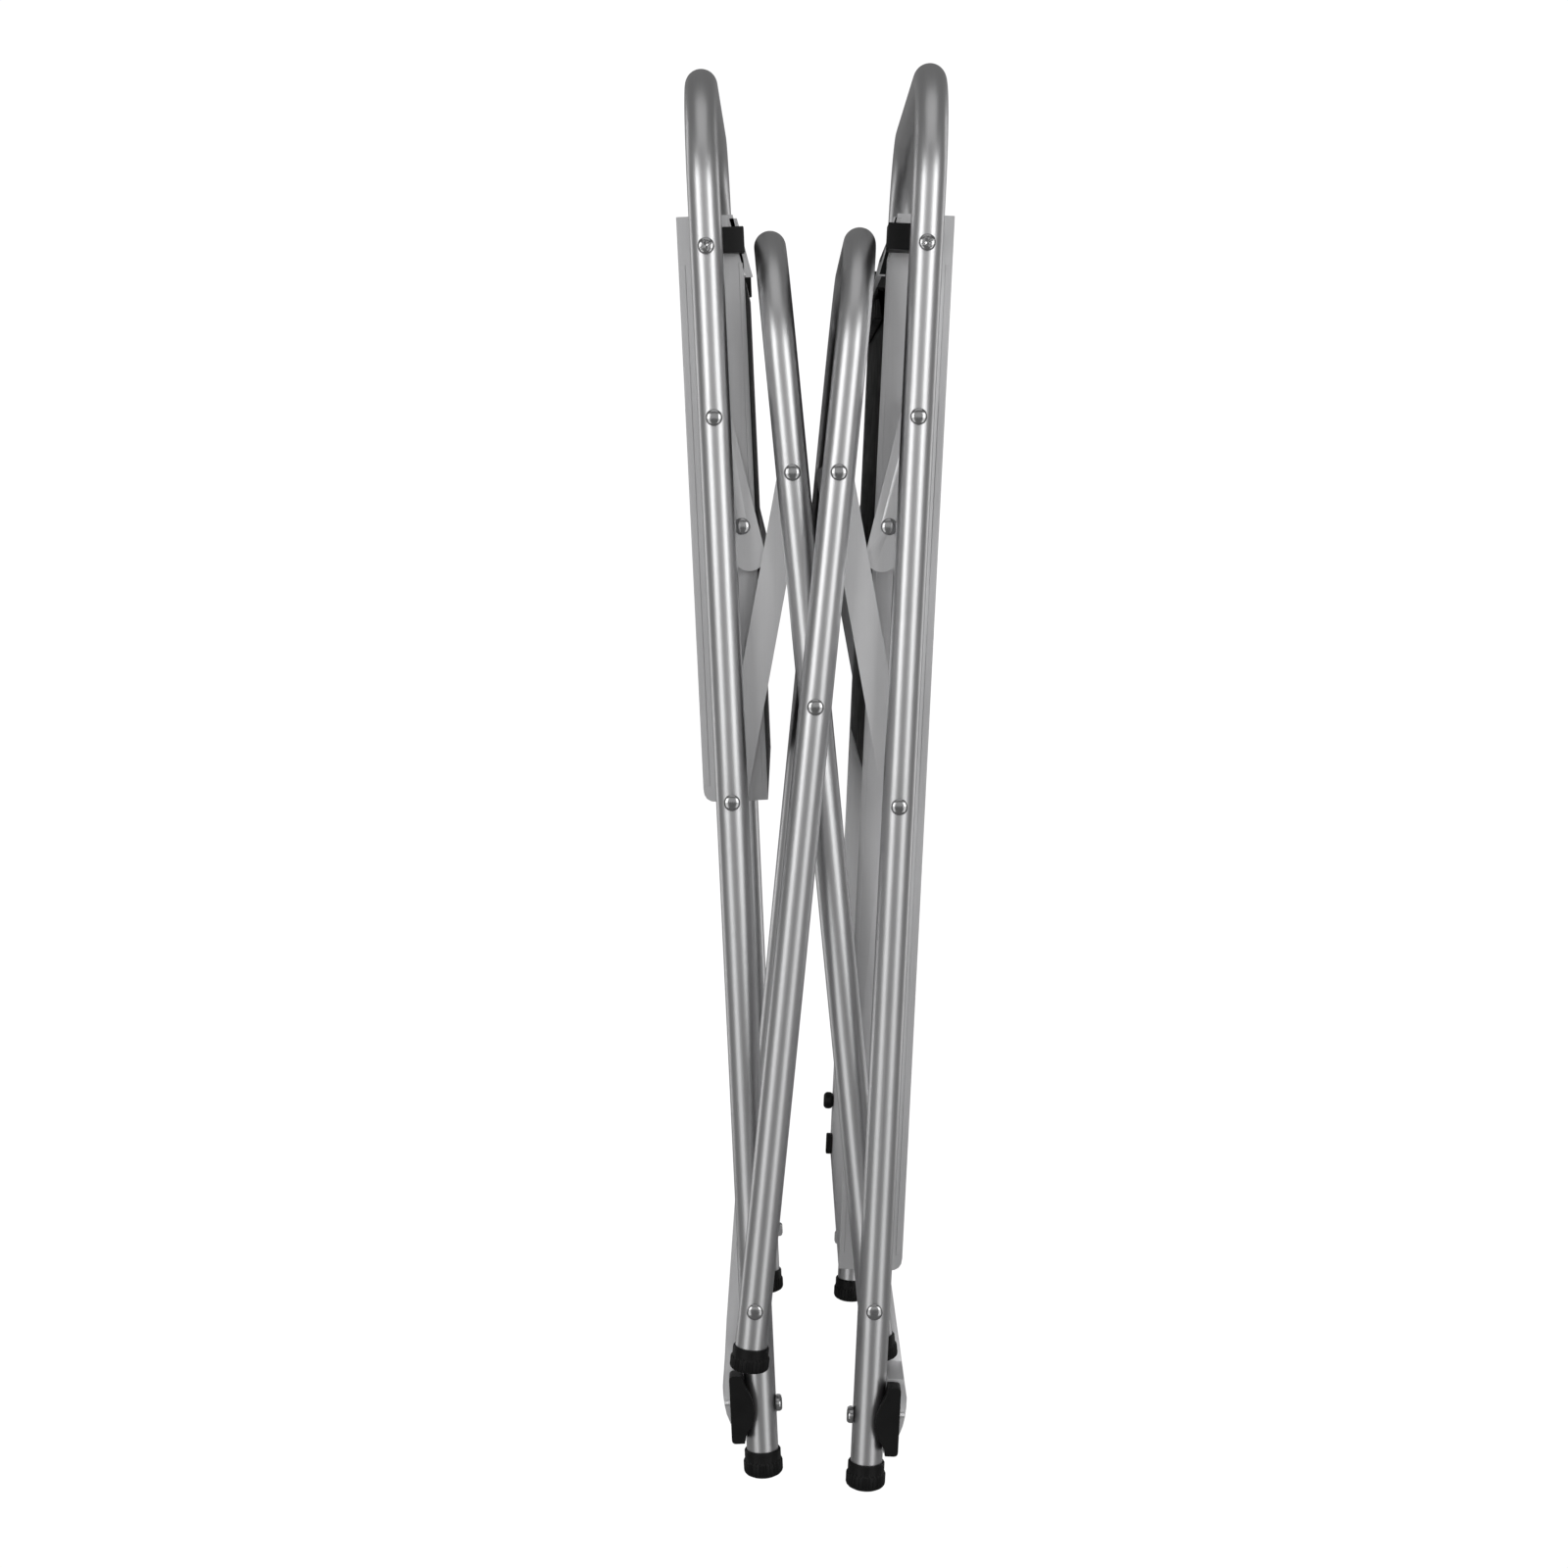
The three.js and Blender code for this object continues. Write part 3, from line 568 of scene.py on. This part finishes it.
def build_fasteners():
    for end in ("near", "far"):
        for name in ("right_pivot", "left_pivot", "scissor"):
            through_rivet(f"{name}_rivet_{end}")
        for side in ("right", "left"):
            through_rivet(f"{side}_link_rivet_{end}")
            single_rivet(f"{side}_stay_rivet_{end}", end)
            cross_screw(f"{side}_hinge_screw_{end}", end)
    for name in ("inner_front", "inner_rear"):
        node = name + "_hoop"
        spot = LEGS[name + "_frame"].matrix @ Vector((0, 0, INNER_LINK_RISE))
        mid = centre_y(node)
        for end, side in (("near", -1), ("far", 1)):
            y = mid + side * (HOOP_SPAN / 2 + TUBE_RADIUS - LINK_HEAD_SINK)
            dome_head(f"{node}_link_head_{end}", node, spot.x, y, spot.z, end,
                      length=LINK_HEAD_SHANK)


def build_elbow_heads():
    """Fine heads over the elbow rivets, whose plain heads are part of the stay arms."""
    for side, sign in (("right", 1), ("left", -1)):
        lean = LEGS[side + "_frame"].lean + sign * STAY_FOLD
        hang = Vector((math.sin(lean), 0, math.cos(lean))) * -STAY_ARM
        spot = pivot(side + "_stay_arm_pivot") + hang
        for end in ("near", "far"):
            node = f"{side}_stay_arm_{end}"
            low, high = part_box(node)
            # The head sits on the bar's face toward its leg; its other face is the arm's end.
            y = high.y - BAR_THICKNESS if end == "near" else low.y + BAR_THICKNESS
            dome_head(f"{node}_elbow_head", node, spot.x, y, spot.z, end,
                      HEAD_RADIUS + HEAD_COVER, HEAD_DOME + HEAD_COVER)


BOLT_PROFILE = ((TIP_RADIUS, 4.0 * MM), (3.6 * MM, 3.9 * MM), (4.7 * MM, 3.3 * MM),
                (5.3 * MM, 2.1 * MM), (5.3 * MM, 0.2 * MM), (5.0 * MM, 0.0),
                (BOLT_WASHER, 0.0), (BOLT_WASHER, -0.3 * MM))
BOLT_OUT = TUBE_RADIUS + 0.2 * MM


def build_bolt_heads():
    """Fine pan heads over the rail bolts, whose plain heads are part of the foot rails."""
    for side, sign in (("right", 1), ("left", -1)):
        node = f"{side}_foot_rail"
        low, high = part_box(node)
        for end, y in (("near", low.y), ("far", high.y)):
            mesh = turned_mesh(f"{node}_bolt_{end}", BOLT_PROFILE, smooth_angle=HEAD_SMOOTH)
            place = (LEGS[side + "_frame"].matrix
                     @ Matrix.Translation((-sign * BOLT_OUT, y, BOLT_RISE))
                     @ Matrix.Rotation(-sign * math.pi / 2, 4, "Y"))
            finish_piece(mesh, f"{node}_bolt_{end}", node, matrix=place, slot="rivet_metal")


# ---- Sheet and moulded pieces: the CAD shape with its edges rounded ----------------------------

WELD = 2e-6
FLAT = math.radians(1)
SHARP_ANGLE = 30  # degrees


def round_edges(piece, width, segments):
    bevel = piece.modifiers.new("edges", "BEVEL")
    bevel.width = width
    bevel.segments = segments
    bevel.limit_method = "ANGLE"
    bevel.angle_limit = math.radians(SHARP_ANGLE)


def rounded(node, width, look=None, segments=2):
    """The node's own shape with flat regions made whole and every sharp edge rounded."""
    bm = bmesh.new()
    bm.from_mesh(NODES[node].data)
    bmesh.ops.remove_doubles(bm, verts=bm.verts, dist=WELD)
    bmesh.ops.dissolve_limit(bm, angle_limit=FLAT, verts=bm.verts, edges=bm.edges)
    mesh = mesh_of(node + "_fine", bm, SHARP_ANGLE)
    piece = finish_piece(mesh, node + "_fine", node, look, replaces=[node])
    round_edges(piece, width, segments)


# How wide each piece's edges are rounded, in millimetres.
END_EDGES = {"link": 0.5, "stay_arm": 0.3, "stay_strut": 0.4, "hinge_block": 1.0, "saddle": 1.0}
SINGLE_EDGES = {
    "right_leaf_board_upper": 0.4, "right_leaf_board_lower": 0.4, "left_leaf_board": 0.4,
    "right_leaf_knob": 0.8, "right_leaf_stop": 1.0, "right_leaf_catch": 1.2,
}
ROUNDER = ("saddle", "right_leaf_catch")


def build_plates():
    for side in ("right", "left"):
        rounded(f"{side}_leaf_shell", 0.5 * MM)
        rounded(f"{side}_foot_rail", 0.4 * MM, RAIL_METAL)
        for end in ("near", "far"):
            for kind, width in END_EDGES.items():
                rounded(f"{side}_{kind}_{end}", width * MM, segments=3 if kind in ROUNDER else 2)
    for node, width in SINGLE_EDGES.items():
        rounded(node, width * MM, segments=3 if node in ROUNDER else 2)


# ---- Folded hems along the leaves' end walls ---------------------------------------------------

# Each hem: its two edges across the wall, and its thickness, in millimetres.
HEMS = (((-23.2, -20.6), 0.5), ((-9.4, -8.6), 0.35), ((15.4, 19.4), 0.5))
HEM_ROOT = 0.2 * MM
HEM_EDGE = 0.15 * MM


def build_hems():
    """Narrow strips down each end wall of a leaf, standing slightly proud of it."""
    for side, sign in (("right", 1), ("left", -1)):
        node = f"{side}_leaf_shell"
        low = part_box(node)[0]
        hinge = pivot(side + "_leaf_hinge")
        bottom = (low.z - hinge.z) / math.cos(LEGS[side + "_frame"].lean) + HEM_END
        wall = (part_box(f"{side}_hinge_block_near")[1].y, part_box(f"{side}_hinge_block_far")[0].y)
        base = at_leaf_hinge(side)
        for end, y, outward in (("near", wall[0] + WALL_GAP, -1), ("far", wall[1] - WALL_GAP, 1)):
            for index, ((a, b), thickness) in enumerate(HEMS):
                bm = bmesh.new()
                bmesh.ops.create_cube(bm, size=1)
                size = ((b - a) * MM, thickness * MM + HEM_ROOT, HEM_TOP - bottom)
                centre = (sign * (a + b) / 2 * MM, y + outward * (thickness * MM - HEM_ROOT) / 2,
                          (HEM_TOP + bottom) / 2)
                mesh = mesh_of(f"{node}_hem_{end}_{index}", bm)
                place = base @ Matrix.Translation(centre) @ Matrix.Diagonal((*size, 1))
                piece = finish_piece(mesh, mesh.name, node, matrix=place)
                round_edges(piece, HEM_EDGE, 2)


# ---- Slanted tabs at the leaves' upper inner corners -------------------------------------------

# The tab's corners: across and up from the hinge, in millimetres.
TAB = ((-15.5, 20.5), (-19.5, 20.5), (-28.5, -17.5), (-24.5, -17.5))
TAB_THICKNESS = 1.4 * MM
TAB_RIM = 1.2 * MM
RIM_PROUD = 0.3 * MM


def prism(name, outline, y, thickness):
    """Flat plate with an X-Z outline, from y toward +Y by its thickness."""
    bm = bmesh.new()
    near = [bm.verts.new((x, y, z)) for x, z in outline]
    far = [bm.verts.new((x, y + thickness, z)) for x, z in outline]
    bm.faces.new(near)
    bm.faces.new(far)
    grid_faces(bm, [near, far])
    return mesh_of(name, bm)


def build_tabs():
    """A tab with a bright folded rim down its inner edge, at the near end of each leaf."""
    for side, sign, slot in (("right", 1, "black_plastic"), ("left", -1, "sheet_aluminium")):
        node = f"{side}_leaf_shell"
        place = at_leaf_hinge(side)
        points = [(sign * x * MM, z * MM) for x, z in TAB]
        rim = [points[1], (points[1][0] - sign * TAB_RIM, points[1][1]),
               (points[2][0] - sign * TAB_RIM, points[2][1] - TAB_RIM),
               (points[3][0], points[3][1] - TAB_RIM), points[3], points[2]]
        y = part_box(f"{side}_hinge_block_near")[1].y + WALL_GAP
        finish_piece(prism(node + "_tab", points, y, TAB_THICKNESS), node + "_tab", node,
                     matrix=place, slot=slot)
        finish_piece(prism(node + "_rim", rim, y - RIM_PROUD, TAB_THICKNESS + 2 * RIM_PROUD),
                     node + "_rim", node, matrix=place)


# ---- Camera, floor and light -------------------------------------------------------------------

FLOOR_HALF = 12  # metres
BACKGROUND_SEEN = 1.05
BACKGROUND_REFLECTED = 0.18
# Each pair of lights: place on the right side, target, width and height, and watts.
PAIRED_LIGHTS = {
    "upper": ((1.7, -2.2, 1.1), (0, 0, 0.85), (1.25, 1.5), 15.5),
    "lower": ((1.7, -2.2, -0.6), (0, 0, 0.2), (1.25, 1.7), 6.5),
    "back": ((2.2, 1.3, 0.7), (0, 0, 0.5), (0.8, 2.6), 8),
}
SINGLE_LIGHTS = {
    "front_fill": ((0, -4.6, 1.6), (0, 0, 0.8), (3.6, 2.4), 9),
    "overhead": ((0, -1.0, 3.0), (0, 0, 0.6), (2.4, 2.4), 7),
}


def build_camera():
    camera = bpy.data.objects.new("camera", bpy.data.cameras.new("camera"))
    bpy.context.scene.collection.objects.link(camera)
    bpy.context.scene.camera = camera
    camera.data.lens = CAMERA["lens"]
    camera.data.sensor_width = CAMERA["sensor"]
    front_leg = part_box("right_outer_hoop")[0].y + TUBE_RADIUS
    camera.location = (CAMERA["side"], front_leg - CAMERA["distance"], CAMERA["height"])
    camera.rotation_euler = (math.radians(90 - CAMERA["pitch"]), 0, 0)


def build_floor():
    """A white floor that blends into the background and stays out of the metal's reflections."""
    bm = bmesh.new()
    bmesh.ops.create_grid(bm, x_segments=1, y_segments=1, size=FLOOR_HALF)
    mesh = mesh_of("floor", bm)
    floor = bpy.data.objects.new("floor", mesh)
    bpy.context.scene.collection.objects.link(floor)
    nodes = Nodes("floor_paint", Roughness=1.0)
    nodes.shader.inputs["Base Color"].default_value = (0, 0, 0, 1)
    nodes.shader.inputs["Specular IOR Level"].default_value = 0
    nodes.shader.inputs["Emission Color"].default_value = (1, 1, 1, 1)
    nodes.shader.inputs["Emission Strength"].default_value = BACKGROUND_SEEN
    mesh.materials.append(nodes.material)
    floor.visible_diffuse = False
    floor.visible_glossy = False
    floor.visible_shadow = False


def softbox(name, location, target, size, power):
    light = bpy.data.lights.new(name, "AREA")
    light.shape = "RECTANGLE"
    light.size, light.size_y = size
    light.energy = power
    lamp = bpy.data.objects.new(name, light)
    bpy.context.scene.collection.objects.link(lamp)
    lamp.location = location
    direction = Vector(target) - Vector(location)
    lamp.rotation_euler = direction.to_track_quat("-Z", "Y").to_euler()


def build_world():
    """White to the camera, and dark grey to what the metal reflects."""
    world = bpy.data.worlds.new("studio")
    bpy.context.scene.world = world
    world.use_nodes = True
    tree = world.node_tree
    background = tree.nodes["Background"]
    background.inputs["Color"].default_value = (1, 1, 1, 1)
    seen = tree.nodes.new("ShaderNodeLightPath")
    strength = tree.nodes.new("ShaderNodeMapRange")
    strength.inputs["To Min"].default_value = BACKGROUND_REFLECTED
    strength.inputs["To Max"].default_value = BACKGROUND_SEEN
    tree.links.new(seen.outputs["Is Camera Ray"], strength.inputs["Value"])
    tree.links.new(strength.outputs["Result"], background.inputs["Strength"])


def build_studio():
    build_camera()
    build_floor()
    build_world()
    for side, sign in (("left", -1), ("right", 1)):
        for name, ((x, y, z), target, size, power) in PAIRED_LIGHTS.items():
            softbox(f"{side}_{name}", (sign * x, y, z), target, size, power)
    for name, settings in SINGLE_LIGHTS.items():
        softbox(name, *settings)
    bpy.context.scene.view_settings.view_transform = "Standard"


build_studio()
build_hoops()
build_caps()
build_fasteners()
build_elbow_heads()
build_bolt_heads()
build_plates()
build_hems()
build_tabs()
